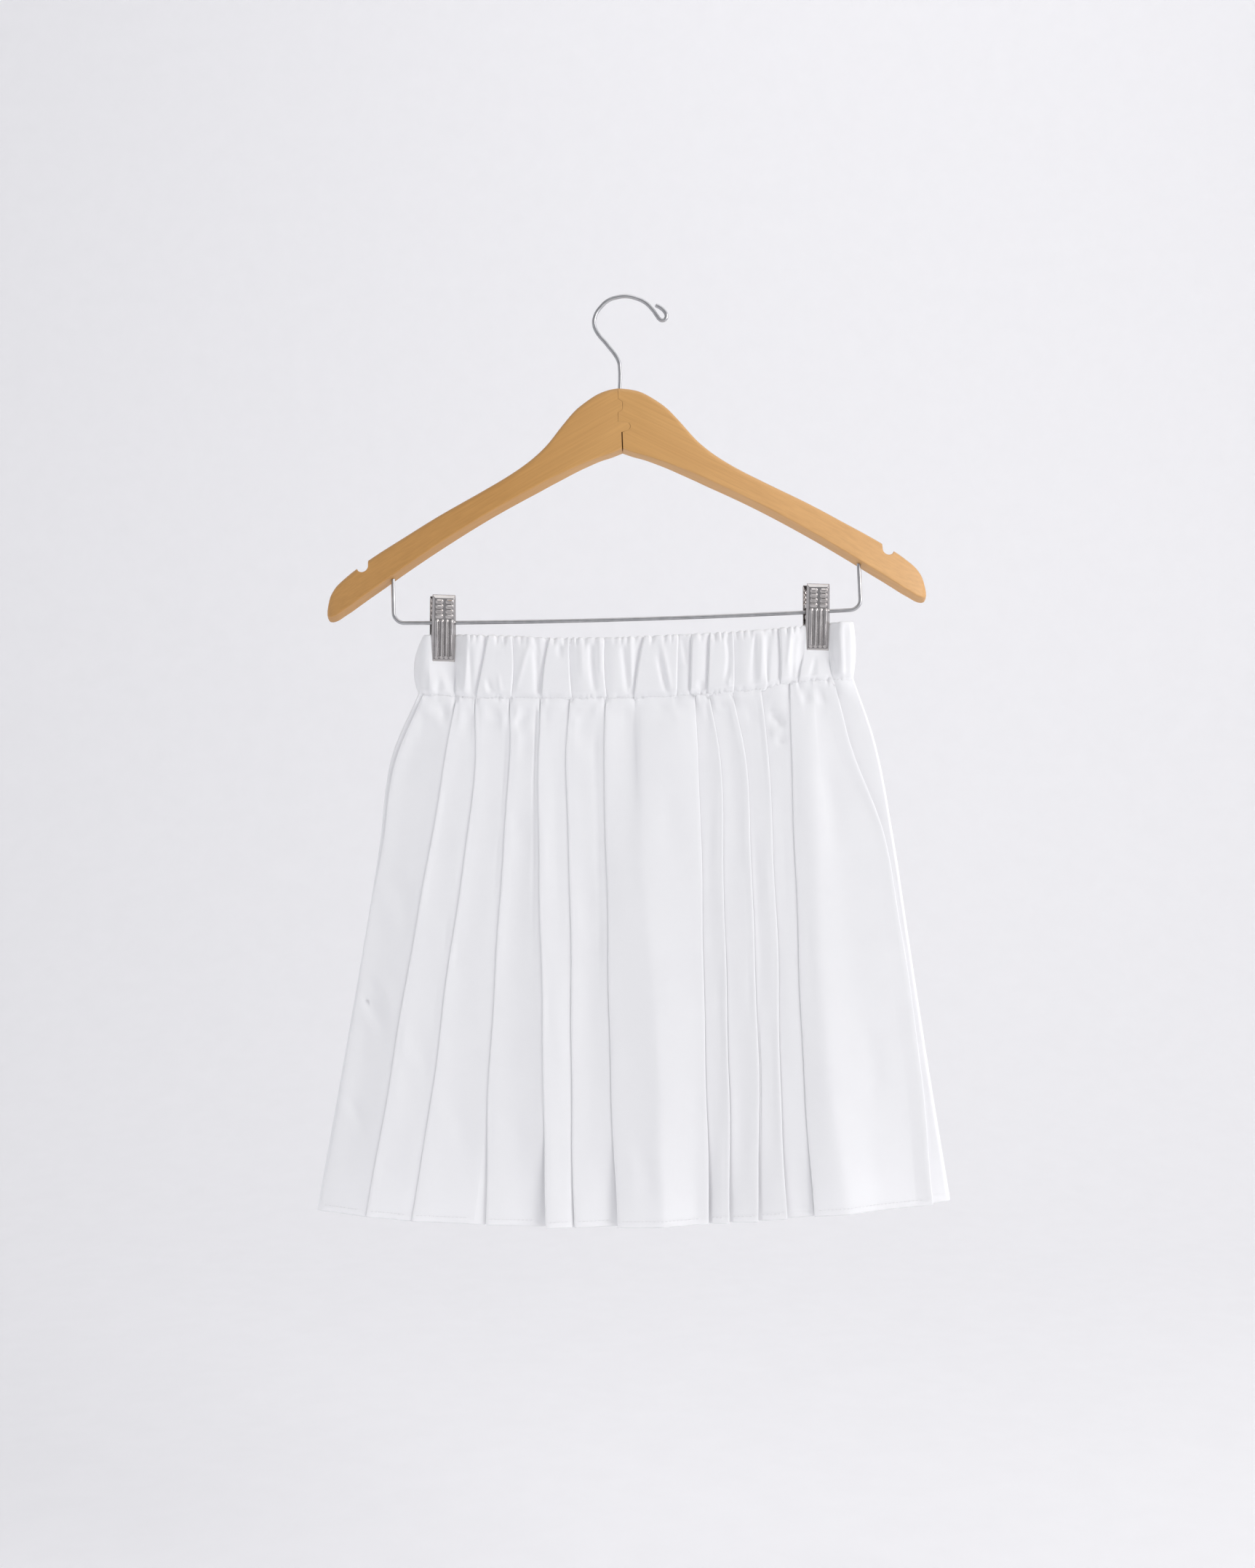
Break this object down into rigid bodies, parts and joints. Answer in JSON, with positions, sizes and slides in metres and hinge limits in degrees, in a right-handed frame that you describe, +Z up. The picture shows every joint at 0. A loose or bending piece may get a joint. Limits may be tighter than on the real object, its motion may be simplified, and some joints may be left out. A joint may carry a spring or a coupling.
{
  "type": "pleated mini skirt on a wooden clip hanger",
  "caption": "White knife-pleated mini skirt with an elastic casing waist, hanging open at the hem from two clips on the bar of a contoured wooden hanger.",
  "frame": {"origin": "the point inside the hook's crown where the hanger is held", "axes": "+X to the viewer's right along the waist, +Y from the front of the skirt to its back, +Z up"},
  "size_m": [0.4711, 0.0519, 0.6897],
  "materials": {
    "cloth": "smooth satin-weave white cloth with a slight sheen",
    "wood": "fine straight grain under satin lacquer",
    "steel": "polished plated wire",
    "clip_steel": "plated pressed sheet"
  },
  "bodies": {
    "root": {"skirt_front": "cloth", "skirt_back": "cloth", "waist_front": "cloth", "waist_back": "cloth", "hanger_arm_left": "wood", "hanger_arm_right": "wood", "hanger_hook": "steel", "trouser_bar": "steel", "clip_left_front": "clip_steel", "clip_left_back": "clip_steel", "clip_left_spring": "clip_steel", "clip_right_front": "clip_steel", "clip_right_back": "clip_steel", "clip_right_spring": "clip_steel"}
  },
  "joints": []
}
